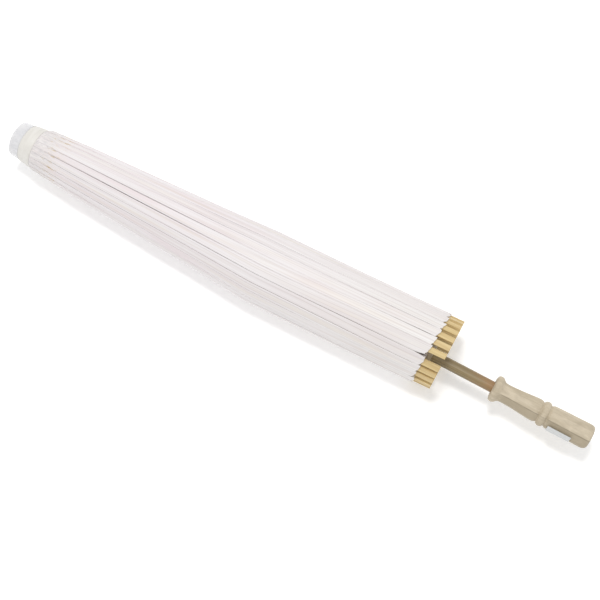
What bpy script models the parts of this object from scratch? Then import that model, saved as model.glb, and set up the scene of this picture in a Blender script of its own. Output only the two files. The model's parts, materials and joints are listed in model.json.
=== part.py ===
"""Closed oil paper umbrella lying on its side: a bamboo shaft and turned handle, 24 ribs and
24 stretchers threaded on two slotted hubs, a folded paper canopy, a crown band and an end cap.

The shaft runs along +X from the cap to the handle. Each rib turns on a wire in the top notch, each
stretcher on a pin in its rib, and the stretchers' lower ends on a wire in the runner. A stretcher is
as long as its rib's pivot is far from the hinge, and both hubs carry their wires at one radius, so
the runner slides exactly along the shaft as the ribs open.
"""

from math import asin, cos, pi, radians, sin, tan

import bmesh
import bpy
from mathutils import Matrix, Vector

MM = 0.001

# Places along the shaft, measured from the end of the cap
CAP_END = 10.5 * MM
BAND_START, BAND_END = 10.8 * MM, 23.3 * MM
NOTCH_START, NOTCH_END = 12.5 * MM, 36.5 * MM
SHAFT_START, SHAFT_END = 4.0 * MM, 522.0 * MM
HINGE_X = 30.0 * MM
PAPER_START, PAPER_END = 23.6 * MM, 413.5 * MM
RIB_END = 426.5 * MM
HANDLE_START, HANDLE_END = 472.5 * MM, 562.5 * MM

# The shaft's own place in the model, whose origin is the middle of the bottom of its box
AXIS_X = -0.5 * HANDLE_END
AXIS_Y = -2.825 * MM
AXIS_Z = 32.916 * MM

# Ribs, stretchers and the linkage between the hubs
RIB_COUNT = 24
PITCH = 2 * pi / RIB_COUNT
FIRST_RIB = PITCH / 2
PIVOT_RADIUS = 12.5 * MM
LINK = 185.0 * MM
LINK_RISE = 14.5 * MM
CLOSED_ANGLE = asin(LINK_RISE / LINK)
LINK_RUN = LINK * cos(CLOSED_ANGLE)
RUNNER_X = HINGE_X + 2 * LINK_RUN
TONGUE_WIDTH = 1.6 * MM
WIRE_RADIUS = 0.5 * MM
WIRE_HOLE_RADIUS = 0.8 * MM
PIN_RADIUS = 0.55 * MM
PIN_HOLE_RADIUS = 0.8 * MM
HOLE_REACH = 4.0 * MM

# A rib's outer face, depth and width along the shaft: place, radius, depth, width
RIB_STATIONS = [
    (HINGE_X - 1.4 * MM, 14.0 * MM, 3.0 * MM, TONGUE_WIDTH),
    (HINGE_X + 7.0 * MM, 15.4 * MM, 3.4 * MM, TONGUE_WIDTH),
    (HINGE_X + 12.0 * MM, 17.2 * MM, 3.8 * MM, 2.4 * MM),
    (HINGE_X + 24.0 * MM, 19.9 * MM, 3.8 * MM, 3.0 * MM),
    (68.0 * MM, 21.8 * MM, 3.6 * MM, 3.4 * MM),
    (130.0 * MM, 25.0 * MM, 3.8 * MM, 4.0 * MM),
    (195.0 * MM, 28.4 * MM, 4.4 * MM, 4.6 * MM),
    (250.0 * MM, 32.0 * MM, 4.3 * MM, 4.6 * MM),
    (310.0 * MM, 32.0 * MM, 4.2 * MM, 4.7 * MM),
    (350.0 * MM, 32.0 * MM, 4.0 * MM, 4.8 * MM),
    (390.0 * MM, 32.0 * MM, 3.7 * MM, 4.8 * MM),
    (RIB_END, 32.0 * MM, 3.3 * MM, 4.8 * MM),
]
RIB_SLOT_WIDTH = 2.1 * MM
RIB_SLOT_TOP = 28.6 * MM
RIB_SLOT_DEPTH = 12.0 * MM
RIB_SLOT_BEFORE, RIB_SLOT_AFTER = 6.0 * MM, 36.0 * MM

# A stretcher's half depth at its rib end and at its runner end, the shares of its length between
# which it thickens, and how far it passes its pivots
STRETCHER_WIDTH = TONGUE_WIDTH
STRETCHER_THICKENS = (0.15, 0.9)
STRETCHER_HALF_TOP, STRETCHER_HALF_LOW = 1.1 * MM, 1.5 * MM
STRETCHER_PAST_TOP, STRETCHER_PAST_LOW = 0.8 * MM, 1.4 * MM

# The bundle's lean: its tail end lies this far to +Y of the shaft, from the bend onwards
LEAN = 6.2 * MM
LEAN_START = 252.0 * MM
LEAN_POWER = 1.2
# Gaps between the tails: azimuth of the gap, how far its two ribs are spread, reach round the bundle
TAIL_GAPS = [(radians(30), 5.0 * MM, radians(60)), (radians(75), 2.2 * MM, radians(45))]
GAP_START, GAP_FULL = 255.0 * MM, 400.0 * MM

# The folded paper: place along the shaft and outer radius over the ribs
PAPER_STATIONS = [
    (PAPER_START, 19.8 * MM),
    (42.0 * MM, 21.0 * MM),
    (68.4 * MM, 23.0 * MM),
    (130.0 * MM, 26.2 * MM),
    (195.0 * MM, 29.6 * MM),
    (250.0 * MM, 33.2 * MM),
    (310.0 * MM, 33.2 * MM),
    (362.0 * MM, 33.2 * MM),
    (PAPER_END, 33.2 * MM),
]
PAPER_THICKNESS = 0.5 * MM
CREASE_DEPTH = 0.45 * MM

# The two slotted hubs
HUB_BORE = 5.2 * MM
HUB_RADIUS = 15.2 * MM
HUB_SLOT_WIDTH = 2.0 * MM
HUB_SLOT_FLOOR = 10.0 * MM
HUB_SLOT_PAST = 2.9 * MM
HUB_GROOVE_FLOOR = 11.6 * MM
HUB_GROOVE_HALF = 0.9 * MM
HUB_SLOT_OUT = 5.0 * MM
RUNNER_LIP, RUNNER_TAIL = 5.5 * MM, 17.0 * MM
RUNNER_SHOULDER, RUNNER_TAPER = 5.0 * MM, 3.0 * MM
RUNNER_WAIST = 11.0 * MM

# Shaft, latch and stop pin
SHAFT_RADIUS = 4.9 * MM
OPEN_ANGLE = radians(68)
RUNNER_OPEN_X = HINGE_X + 2 * LINK * cos(CLOSED_ANGLE + OPEN_ANGLE)
STOP_PIN_X = RUNNER_OPEN_X - RUNNER_LIP - 2.4 * MM
STOP_PIN_RADIUS, STOP_PIN_HALF = 1.0 * MM, 8.0 * MM
STOP_HOLE_RADIUS = 1.3 * MM
LATCH_TIP_X = RUNNER_OPEN_X + RUNNER_TAIL + 1.8 * MM
LATCH_LENGTH = 36.0 * MM
LATCH_BEND, LATCH_ROOT = 2.5 * MM, 1.5 * MM
LATCH_HINGE_RADIUS = 2.4 * MM
LATCH_THICKNESS = 1.2 * MM
LATCH_WIDTH = 1.6 * MM
LATCH_TIP_RADIUS = 7.0 * MM
LATCH_SLOT_WIDTH = 2.2 * MM
LATCH_SLOT_FLOOR = 0.6 * MM
LATCH_SLOT_BEFORE, LATCH_SLOT_AFTER = 1.5 * MM, 3.0 * MM

# Cap and band: outer radii at their two ends, and walls
CAP_RADII = (16.2 * MM, 16.8 * MM)
CAP_ROUNDING = 2.2 * MM
CAP_WALL = 1.0 * MM
BAND_RADII = (17.0 * MM, 18.8 * MM)
BAND_WALL = 1.1 * MM

# The handle's turned outline from its collar: distance, radius
HANDLE_OUTLINE = [
    (0.0 * MM, 8.6 * MM),
    (0.7 * MM, 10.1 * MM),
    (2.2 * MM, 10.9 * MM),
    (3.8 * MM, 10.8 * MM),
    (5.6 * MM, 10.0 * MM),
    (8.6 * MM, 9.1 * MM),
    (13.0 * MM, 8.75 * MM),
    (21.0 * MM, 8.95 * MM),
    (31.0 * MM, 9.6 * MM),
    (39.0 * MM, 10.05 * MM),
    (42.2 * MM, 10.0 * MM),
    (43.6 * MM, 9.3 * MM),
    (45.0 * MM, 10.6 * MM),
    (47.0 * MM, 11.2 * MM),
    (49.2 * MM, 10.8 * MM),
    (50.8 * MM, 9.6 * MM),
    (52.6 * MM, 10.5 * MM),
    (58.0 * MM, 10.75 * MM),
    (72.0 * MM, 11.0 * MM),
    (84.0 * MM, 11.2 * MM),
    (87.4 * MM, 10.9 * MM),
    (89.3 * MM, 9.9 * MM),
    (90.0 * MM, 8.6 * MM),
]
HANDLE_SIDES = 8
HANDLE_SEGMENTS = 32
HANDLE_FACETING = 0.75
HANDLE_BORE = 5.2 * MM
HANDLE_BORE_DEPTH = SHAFT_END - HANDLE_START + 0.5 * MM
LABEL_AZIMUTH = radians(67.5)
LABEL_START, LABEL_LENGTH = 54.0 * MM, 21.0 * MM
LABEL_WIDTH, LABEL_THICKNESS = 6.6 * MM, 0.2 * MM
LABEL_RADIUS = 11.5 * MM

ROUND = 24
SMALL_ROUND = 8
REACH = 60 * MM

for leftover in list(bpy.data.objects):
    bpy.data.objects.remove(leftover)


def new_collection(name):
    collection = bpy.data.collections.new(name)
    bpy.context.scene.collection.children.link(collection)
    return collection


parts = new_collection("oil_paper_umbrella")
cutters = new_collection("cutters")

# The shaft frame: local Z runs down the shaft from the cap, and local X points at the floor.
shaft_frame = bpy.data.objects.new("shaft_frame", None)
shaft_frame.location = (AXIS_X, AXIS_Y, AXIS_Z)
shaft_frame.rotation_euler = (0, pi / 2, 0)
parts.objects.link(shaft_frame)


def material(name, colour, roughness, metallic=0.0):
    made = bpy.data.materials.new(name)
    made.use_nodes = True
    shader = made.node_tree.nodes["Principled BSDF"]
    shader.inputs["Base Color"].default_value = (*colour, 1)
    shader.inputs["Roughness"].default_value = roughness
    shader.inputs["Metallic"].default_value = metallic
    return made


def add_object(name, bm, collection=None, parent=None, location=(0, 0, 0), turn=0.0):
    """The mesh as an object in the shaft frame, turned about the shaft's direction."""
    bmesh.ops.recalc_face_normals(bm, faces=bm.faces)
    mesh = bpy.data.meshes.new(name)
    bm.to_mesh(mesh)
    bm.free()
    made = bpy.data.objects.new(name, mesh)
    (collection or parts).objects.link(made)
    made.parent = parent or shaft_frame
    made.location = location
    made.rotation_euler = (0, 0, turn)
    return made


def finish(made, look, smooth_below=35):
    made.data.materials.append(look)
    made.data.shade_smooth()
    made.data.set_sharp_from_angle(angle=radians(smooth_below))


def cut(target, bm, name, **place):
    """Takes the shape out of the target with an exact Boolean."""
    cutter = add_object(name, bm, collection=cutters, **place)
    cutter.hide_render = True
    cutter.display_type = "WIRE"
    boolean = target.modifiers.new(name, "BOOLEAN")
    boolean.object = cutter
    boolean.operation = "DIFFERENCE"
    return cutter


def box(low, high):
    bm = bmesh.new()
    add_box(bm, low, high)
    return bm


def add_box(bm, low, high, place=None):
    low, high = Vector(low), Vector(high)
    size = Matrix.Diagonal((*(high - low), 1))
    bmesh.ops.create_cube(
        bm, size=1, matrix=(place or Matrix()) @ Matrix.Translation((low + high) / 2) @ size
    )


def rod(radius, start, end, along, segments=ROUND):
    """A closed cylinder from start to end along one axis of the mesh."""
    bm = bmesh.new()
    turn = {"X": Matrix.Rotation(pi / 2, 4, "Y"), "Y": Matrix.Rotation(pi / 2, 4, "X")}
    direction = turn.get(along, Matrix())
    shift = {"X": (1, 0, 0), "Y": (0, 1, 0), "Z": (0, 0, 1)}[along]
    middle = Vector(shift) * (start + end) / 2
    bmesh.ops.create_cone(
        bm,
        segments=segments,
        radius1=radius,
        radius2=radius,
        depth=end - start,
        cap_ends=True,
        matrix=Matrix.Translation(middle) @ direction,
    )
    return bm


def turned(outline, segments=ROUND, closed=True, first=0.0):
    """Spins a list of (distance along the shaft, radius) round the shaft. A closed outline goes
    all the way round its own section, and an open one is a skin from its first point to its last."""
    bm = bmesh.new()
    ring = [bm.verts.new((radius * cos(first), radius * sin(first), z)) for z, radius in outline]
    pairs = list(zip(ring, ring[1:] + ring[:1])) if closed else list(zip(ring, ring[1:]))
    edges = [bm.edges.new(pair) for pair in pairs]
    bmesh.ops.spin(
        bm,
        geom=ring + edges,
        cent=(0, 0, 0),
        axis=(0, 0, 1),
        dvec=(0, 0, 0),
        angle=2 * pi,
        steps=segments,
        use_merge=True,
        use_duplicate=False,
    )
    bmesh.ops.remove_doubles(bm, verts=bm.verts, dist=1e-6)
    return bm


def azimuth_of(index):
    """A rib's azimuth about the shaft: 0 points up, and a quarter turn points at -Y."""
    return FIRST_RIB + index * PITCH


def turn_of(azimuth):
    """The turn about the shaft that brings local X to that azimuth."""
    return azimuth + pi


def stepped(value, start, end):
    """A smooth step from 0 at start to 1 at end."""
    share = min(1.0, max(0.0, (value - start) / (end - start)))
    return share * share * (3 - 2 * share)


def between(stations, x, column):
    """A station list's value at a place along the shaft, on straight runs between stations."""
    for before, after in zip(stations, stations[1:]):
        if x <= after[0]:
            share = (x - before[0]) / (after[0] - before[0])
            return before[column] + share * (after[column] - before[column])
    return stations[-1][column]


def lean_at(x):
    """How far the bundle's centre lies to +Y of the shaft."""
    if x <= LEAN_START:
        return 0.0
    return LEAN * ((x - LEAN_START) / (RIB_END - LEAN_START)) ** LEAN_POWER


def side_shift(azimuth, x):
    """How far a rib at that azimuth is pushed round the bundle by the gaps between the tails."""
    total = 0.0
    for gap, spread, reach in TAIL_GAPS:
        away = (azimuth - gap + pi) % (2 * pi) - pi
        share = max(0.0, 1 - abs(away) / reach)
        total += (spread / 2) * share * (1 if away > 0 else -1)
    return total * stepped(x, GAP_START, GAP_FULL)


def bundle_point(azimuth, x, radius, across=0.0):
    """A point of the folded bundle in a frame turned to the azimuth: radial, tangential, along."""
    lean = lean_at(x)
    radial = radius - lean * sin(azimuth)
    tangential = across + side_shift(azimuth, x) - lean * cos(azimuth)
    return Vector((radial, tangential, x))


def slat(stations, place):
    """A long closed slat: a cube cut across at each station, whose corners place() puts."""
    bm = bmesh.new()
    bmesh.ops.create_cube(bm, size=1)
    long_edges = [e for e in bm.edges if abs(e.verts[0].co.z - e.verts[1].co.z) > 0.5]
    bmesh.ops.subdivide_edges(bm, edges=long_edges, cuts=len(stations) - 2, use_grid_fill=True)
    for vertex in bm.verts:
        at = round((vertex.co.z + 0.5) * (len(stations) - 1))
        vertex.co = place(stations[at], 1 if vertex.co.x > 0 else -1, 1 if vertex.co.y > 0 else -1)
    return bm


def make_rib(index, look):
    """One rib in its closed place, with its origin on its hinge in the top notch."""
    azimuth = azimuth_of(index)
    hinge = Vector((PIVOT_RADIUS, 0, HINGE_X))

    def place(station, outer, side):
        x, radius, depth, width = station
        return bundle_point(azimuth, x, radius - (outer < 0) * depth, side * width / 2) - hinge

    turn = turn_of(azimuth)
    at = Matrix.Rotation(turn, 4, "Z") @ hinge
    name = f"rib_{index + 1:02d}"
    rib = add_object(name, slat(RIB_STATIONS, place), location=at, turn=turn)
    slot_top = RIB_SLOT_TOP - PIVOT_RADIUS
    slot = box(
        (slot_top - RIB_SLOT_DEPTH, -RIB_SLOT_WIDTH / 2, LINK_RUN - RIB_SLOT_BEFORE),
        (slot_top, RIB_SLOT_WIDTH / 2, LINK_RUN + RIB_SLOT_AFTER),
    )
    cut(rib, slot, name + ".slot", location=at, turn=turn)
    wire_hole = rod(WIRE_HOLE_RADIUS, -HOLE_REACH, HOLE_REACH, "Y", SMALL_ROUND)
    cut(rib, wire_hole, name + ".wire_hole", location=at, turn=turn)
    pin_hole = rod(PIN_HOLE_RADIUS, -HOLE_REACH, HOLE_REACH, "Y", SMALL_ROUND)
    bmesh.ops.translate(pin_hole, vec=(LINK_RISE, 0, LINK_RUN), verts=pin_hole.verts)
    cut(rib, pin_hole, name + ".pin_hole", location=at, turn=turn)
    finish(rib, look)


def make_stretcher(index, look):
    """One stretcher in its closed place, with its origin on its pin in the rib."""
    azimuth = azimuth_of(index)
    turn = turn_of(azimuth)
    pivot = Vector((PIVOT_RADIUS + LINK_RISE, 0, HINGE_X + LINK_RUN))
    ends = [
        (-STRETCHER_PAST_TOP, STRETCHER_HALF_TOP),
        (LINK * STRETCHER_THICKENS[0], STRETCHER_HALF_TOP),
        (LINK * STRETCHER_THICKENS[1], STRETCHER_HALF_LOW),
        (LINK + STRETCHER_PAST_LOW, STRETCHER_HALF_LOW),
    ]
    incline = Matrix.Rotation(-CLOSED_ANGLE, 3, "Y")

    def place(station, outer, side):
        along, half = station
        return incline @ Vector((outer * half, side * STRETCHER_WIDTH / 2, along))

    name = f"stretcher_{index + 1:02d}"
    at = Matrix.Rotation(turn, 4, "Z") @ pivot
    stretcher = add_object(name, slat(ends, place), location=at, turn=turn)
    pin_half = between(RIB_STATIONS, pivot.z, 3) / 2
    pin = rod(PIN_RADIUS, -pin_half, pin_half, "Y", SMALL_ROUND)
    join = cut(stretcher, pin, name + ".pin", location=at, turn=turn)
    stretcher.modifiers[join.name].operation = "UNION"
    wire_hole = rod(WIRE_HOLE_RADIUS, -HOLE_REACH, HOLE_REACH, "Y", SMALL_ROUND)
    bmesh.ops.translate(wire_hole, vec=incline @ Vector((0, 0, LINK)), verts=wire_hole.verts)
    cut(stretcher, wire_hole, name + ".wire_hole", location=at, turn=turn)
    finish(stretcher, look)


def make_hub(name, outline, slots_from, slots_to, look):
    """A turned wooden hub with a bore for the shaft and a slot for each rib or stretcher."""
    hub = add_object(name, turned(outline, RIB_COUNT, first=turn_of(0.0)))
    slots = bmesh.new()
    for index in range(RIB_COUNT):
        add_box(
            slots,
            (HUB_SLOT_FLOOR, -HUB_SLOT_WIDTH / 2, slots_from),
            (HUB_RADIUS + HUB_SLOT_OUT, HUB_SLOT_WIDTH / 2, slots_to),
            Matrix.Rotation(turn_of(azimuth_of(index)), 4, "Z"),
        )
    cut(hub, slots, name + ".slots")
    finish(hub, look)
    return hub


def hub_outline(start, end, pivot_x, waist_from=None):
    """The hub's section: its bore, its outside and the groove that its tie wire lies in."""
    outline = [
        (start, HUB_BORE),
        (start, HUB_RADIUS),
        (pivot_x - HUB_GROOVE_HALF, HUB_RADIUS),
        (pivot_x - HUB_GROOVE_HALF, HUB_GROOVE_FLOOR),
        (pivot_x + HUB_GROOVE_HALF, HUB_GROOVE_FLOOR),
        (pivot_x + HUB_GROOVE_HALF, HUB_RADIUS),
    ]
    if waist_from is None:
        outline.append((end, HUB_RADIUS))
    else:
        outline += [
            (waist_from, HUB_RADIUS),
            (waist_from + RUNNER_TAPER, RUNNER_WAIST),
            (end, RUNNER_WAIST),
        ]
    return outline + [(end, HUB_BORE)]


def make_notch(look):
    make_hub(
        "top_notch",
        hub_outline(NOTCH_START, NOTCH_END, HINGE_X),
        HINGE_X - HUB_SLOT_PAST,
        NOTCH_END + HUB_SLOT_OUT,
        look,
    )


def make_runner(look):
    start, end = RUNNER_X - RUNNER_LIP, RUNNER_X + RUNNER_TAIL
    make_hub(
        "runner",
        hub_outline(start, end, RUNNER_X, waist_from=RUNNER_X + RUNNER_SHOULDER),
        start - HUB_SLOT_OUT,
        RUNNER_X + HUB_SLOT_PAST,
        look,
    )


def make_tie_wire(name, x, look):
    """A ring of wire through the heads in a hub's slots."""
    bpy.ops.mesh.primitive_torus_add(
        major_radius=PIVOT_RADIUS,
        minor_radius=WIRE_RADIUS,
        major_segments=2 * RIB_COUNT,
        minor_segments=6,
    )
    wire = bpy.context.object
    wire.name = wire.data.name = name
    for owner in list(wire.users_collection):
        owner.objects.unlink(wire)
    parts.objects.link(wire)
    wire.parent = shaft_frame
    wire.location = (0, 0, x)
    finish(wire, look)


def make_shaft(look):
    shaft = add_object("shaft", rod(SHAFT_RADIUS, SHAFT_START, SHAFT_END, "Z"))
    slot = box(
        (LATCH_SLOT_FLOOR, -LATCH_SLOT_WIDTH / 2, LATCH_TIP_X - LATCH_SLOT_BEFORE),
        (2 * SHAFT_RADIUS, LATCH_SLOT_WIDTH / 2, LATCH_TIP_X + LATCH_LENGTH + LATCH_SLOT_AFTER),
    )
    cut(shaft, slot, "shaft.latch_slot", turn=turn_of(0.0))
    hole = rod(STOP_HOLE_RADIUS, -SHAFT_RADIUS * 2, SHAFT_RADIUS * 2, "Y", 12)
    cut(shaft, hole, "shaft.stop_hole", location=(0, 0, STOP_PIN_X))
    finish(shaft, look)


def make_latch(look):
    """A sprung leaf in the shaft that the open runner rests on, with its origin on its hinge."""
    hinge = Vector((LATCH_HINGE_RADIUS, 0, LATCH_TIP_X + LATCH_LENGTH))
    leaf = [
        (LATCH_TIP_RADIUS - LATCH_HINGE_RADIUS, -LATCH_LENGTH),
        (LATCH_THICKNESS / 2, -LATCH_BEND),
        (LATCH_THICKNESS / 2, LATCH_ROOT),
    ]

    def place(station, outer, side):
        rise, along = station
        return Vector((rise - (outer < 0) * LATCH_THICKNESS, side * LATCH_WIDTH / 2, along))

    at = Matrix.Rotation(turn_of(0.0), 4, "Z") @ hinge
    latch = add_object("latch_spring", slat(leaf, place), location=at, turn=turn_of(0.0))
    finish(latch, look)


def make_stop_pin(look):
    pin = rod(STOP_PIN_RADIUS, -STOP_PIN_HALF, STOP_PIN_HALF, "Y", 12)
    finish(add_object("stop_pin", pin, location=(0, 0, STOP_PIN_X)), look)


def make_cap(look):
    """The plastic end cap: a shell with a rounded edge, open towards the band."""
    end_radius, lip_radius = CAP_RADII
    arc = [
        (CAP_ROUNDING * (1 - cos(a)), end_radius - CAP_ROUNDING * (1 - sin(a)))
        for a in (radians(t) for t in (0, 30, 60, 90))
    ]
    outline = [(0.0, 0.0), *arc, (CAP_END, lip_radius)]
    bm = turned(outline, 2 * ROUND, closed=False)
    cap = add_object("cap", bm)
    shell = cap.modifiers.new("wall", "SOLIDIFY")
    shell.thickness = CAP_WALL
    shell.offset = -1
    finish(cap, look)


def make_band(look):
    start_radius, end_radius = BAND_RADII
    outline = [
        (BAND_START, start_radius - BAND_WALL),
        (BAND_START, start_radius),
        (BAND_END, end_radius),
        (BAND_END, end_radius - BAND_WALL),
    ]
    finish(add_object("crown_band", turned(outline, 2 * ROUND)), look)


def make_handle(look):
    """The turned handle, eased towards an octagon, with a bore that the shaft is glued into."""
    outline = [(HANDLE_START, 0.0)]
    outline += [(HANDLE_START + along, radius) for along, radius in HANDLE_OUTLINE]
    outline.append((HANDLE_END, 0.0))
    bm = turned(outline, HANDLE_SEGMENTS, closed=False, first=turn_of(0.0))
    side = 2 * pi / HANDLE_SIDES
    for vertex in bm.verts:
        around = Vector((vertex.co.x, vertex.co.y, 0))
        if around.length > 1e-6:
            angle = Vector((1, 0, 0)).angle(around)
            flat = cos(side / 2) / cos(angle % side - side / 2)
            vertex.co -= around * HANDLE_FACETING * (1 - flat)
    handle = add_object("handle", bm)
    bore = rod(HANDLE_BORE, -REACH, HANDLE_BORE_DEPTH, "Z")
    cut(handle, bore, "handle.bore", location=(0, 0, HANDLE_START))
    finish(handle, look)


def make_label(look):
    start = HANDLE_START + LABEL_START
    bm = box(
        (LABEL_RADIUS, -LABEL_WIDTH / 2, start),
        (LABEL_RADIUS + LABEL_THICKNESS, LABEL_WIDTH / 2, start + LABEL_LENGTH),
    )
    finish(add_object("label", bm, turn=turn_of(LABEL_AZIMUTH)), look)


def make_canopy(look):
    """The folded paper as one pleated sleeve, open at both ends, highest over each rib."""
    bm = bmesh.new()
    sides = 2 * RIB_COUNT
    bmesh.ops.create_cone(bm, segments=sides, radius1=1, radius2=1, depth=1, cap_ends=False)
    long_edges = [e for e in bm.edges if abs(e.verts[0].co.z - e.verts[1].co.z) > 0.5]
    cuts = len(PAPER_STATIONS) - 2
    bmesh.ops.subdivide_edges(bm, edges=long_edges, cuts=cuts, use_grid_fill=True)
    for vertex in bm.verts:
        x, radius = PAPER_STATIONS[round((vertex.co.z + 0.5) * (len(PAPER_STATIONS) - 1))]
        around = vertex.co.to_2d()
        step = round(-around.angle_signed(Vector((1, 0))) / (PITCH / 2)) % sides
        azimuth = FIRST_RIB + step * PITCH / 2
        crease = step % 2 == 1
        point = bundle_point(azimuth, x, radius - crease * CREASE_DEPTH)
        vertex.co = Matrix.Rotation(turn_of(azimuth), 3, "Z") @ point
    canopy = add_object("canopy", bm)
    sheet = canopy.modifiers.new("paper", "SOLIDIFY")
    sheet.thickness = PAPER_THICKNESS
    sheet.offset = 1
    finish(canopy, look)


def main():
    bamboo = material("bamboo", (0.62, 0.47, 0.24), 0.6)
    dark_bamboo = material("dark_bamboo", (0.3, 0.22, 0.1), 0.55)
    pale_wood = material("pale_wood", (0.7, 0.6, 0.44), 0.6)
    paper = material("oiled_paper", (0.9, 0.87, 0.86), 0.55)
    band_paper = material("band_paper", (0.86, 0.84, 0.79), 0.6)
    plastic = material("clear_plastic", (0.85, 0.86, 0.88), 0.3)
    label_paper = material("label_paper", (0.9, 0.9, 0.9), 0.5)
    steel = material("steel", (0.6, 0.6, 0.6), 0.35, 1.0)

    make_shaft(dark_bamboo)
    make_handle(pale_wood)
    make_label(label_paper)
    make_notch(pale_wood)
    make_tie_wire("notch_tie_wire", HINGE_X, steel)
    make_runner(pale_wood)
    make_tie_wire("runner_tie_wire", RUNNER_X, steel)
    make_stop_pin(bamboo)
    make_latch(bamboo)
    make_cap(plastic)
    make_band(band_paper)
    make_canopy(paper)
    for index in range(RIB_COUNT):
        make_rib(index, bamboo)
        make_stretcher(index, bamboo)


main()
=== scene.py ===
"""Looks for the closed oil paper umbrella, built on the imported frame.

+X runs along the shaft from the end cap to the handle and +Z is up. A place along the shaft is
measured from the cap's end. An azimuth is a turn about the shaft: 0 points up and a quarter turn
points at -Y. The paper is one folded strip for each rib. A strip rides on its rib, and its
geometry nodes read how far the rib has turned from the shaft and spread the strip by that much,
from its folds to the next strip's edge.

A point of a strip has three numbers. Its share is its place across the folded strip, from -1 at
one neighbour's edge to 1 at the other's. Its span is the same across the flat paper. Its own is
how far it belongs to the fold, from 0 over the rib to 1 at the shared edge.
"""

import json
from math import cos, pi, radians, sin, tan

import bmesh
import bpy
from mathutils import Matrix, Vector, noise

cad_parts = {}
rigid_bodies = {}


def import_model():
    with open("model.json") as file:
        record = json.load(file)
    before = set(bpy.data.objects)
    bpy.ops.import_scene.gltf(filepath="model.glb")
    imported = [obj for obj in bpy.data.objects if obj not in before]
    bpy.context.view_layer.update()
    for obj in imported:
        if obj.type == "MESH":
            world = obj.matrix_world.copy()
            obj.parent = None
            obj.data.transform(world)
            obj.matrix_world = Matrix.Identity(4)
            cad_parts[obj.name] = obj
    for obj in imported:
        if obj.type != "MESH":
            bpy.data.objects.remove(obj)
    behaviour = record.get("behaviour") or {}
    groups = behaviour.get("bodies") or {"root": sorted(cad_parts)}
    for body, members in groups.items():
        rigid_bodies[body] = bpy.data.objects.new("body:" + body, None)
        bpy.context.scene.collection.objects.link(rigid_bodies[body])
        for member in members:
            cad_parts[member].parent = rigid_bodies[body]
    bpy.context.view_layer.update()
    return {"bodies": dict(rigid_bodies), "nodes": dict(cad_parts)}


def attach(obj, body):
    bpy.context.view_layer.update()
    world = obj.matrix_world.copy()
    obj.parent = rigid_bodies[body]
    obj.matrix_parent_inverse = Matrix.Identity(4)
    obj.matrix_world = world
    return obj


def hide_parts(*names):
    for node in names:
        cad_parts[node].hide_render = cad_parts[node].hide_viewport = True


MM = 0.001

# The shaft's line, and the frame's own lengths along it
AXIS = Vector((-281.25 * MM, -2.825 * MM, 32.916 * MM))
ALONG = Vector((1, 0, 0))
BAND_START, BAND_END = 10.8 * MM, 23.3 * MM
BAND_RADII = (17.0 * MM, 18.8 * MM)
HINGE_X, PIVOT_RADIUS = 30.0 * MM, 12.5 * MM
RIB_END = 426.5 * MM
HANDLE_START = 472.5 * MM
OPEN_ANGLE = radians(68)

RIB_COUNT = 24
PITCH = 2 * pi / RIB_COUNT
HALF_PITCH = tan(PITCH / 2)

# A rib's outer radius, and the folded paper's, by place along the shaft
RIB_RADII = [
    (28.6 * MM, 14.0 * MM),
    (37.0 * MM, 15.4 * MM),
    (42.0 * MM, 17.2 * MM),
    (54.0 * MM, 19.9 * MM),
    (68.0 * MM, 21.8 * MM),
    (130.0 * MM, 25.0 * MM),
    (195.0 * MM, 28.4 * MM),
    (250.0 * MM, 32.0 * MM),
    (426.5 * MM, 32.0 * MM),
]
PAPER_RADII = [
    (23.6 * MM, 18.5 * MM),
    (25.4 * MM, 19.75 * MM),
    (42.0 * MM, 20.9 * MM),
    (68.4 * MM, 23.0 * MM),
    (130.0 * MM, 26.2 * MM),
    (195.0 * MM, 29.6 * MM),
    (250.0 * MM, 33.1 * MM),
    (426.5 * MM, 33.1 * MM),
]
PAPER_START, PAPER_END = 23.6 * MM, 413.5 * MM
PAPER_STEPS, PAPER_CROWDING = 84, 1.25
STRIP_VECTORS = ("base", "rise", "drop", "open_drop", "sheet_place")
STRIP_NUMBERS = ("share", "span", "crown", "painted_fold_shade", "gathered", "crown_stain")

# How the paper is held: to the band as far as CROWN_END, and gathered as far as GATHER_END. Its
# folds stop at DEEPEST_FOLD from the shaft's line, and LOWEST keeps it off the floor.
CROWN_END, GATHER_END = 45.0 * MM, 50.0 * MM
DEEPEST_FOLD = 17.0 * MM
LOWEST = 0.25 * MM

# The open paper: how high it lies on its rib, and how much it sags between two ribs
PAPER_LIFT, SAG = 0.6 * MM, 0.007

# A rib's own edge as a share of its strip, and the flat paper's width for one strip's grain
RIB_SHARE = 0.53
SHEET_PITCH = 0.05

# The bundle's lean to +Y, and the gaps between its tails as the frame has them: the azimuth, the
# width and the reach of each
LEAN, LEAN_START, LEAN_POWER = 6.2 * MM, 252.0 * MM, 1.2
TAIL_GAPS = [(radians(30), 5.0 * MM, radians(60)), (radians(75), 2.2 * MM, radians(45))]
GAP_START, GAP_FULL = 255.0 * MM, 400.0 * MM

# The paper over a gap is whole but for its mouth, and these creases stay shut along it
GAP_MOUTH = 8.0 * MM
GAP_CREASES = (2, 5)

# The rim's toothed length, and the slant of its cut
RIM_TEETH = 24.0 * MM
RIM_SLANT, SLANT_FROM = -1.8 * MM, radians(30)

# The crown band's wall, its lip by the cap, and its edge that is tucked under the paper
BAND_WALL, BAND_LIP = 1.0 * MM, 0.25 * MM
BAND_TUCK_RADIUS = 18.1 * MM
BAND_STEPS, BAND_ROUND = 14, 192

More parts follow.
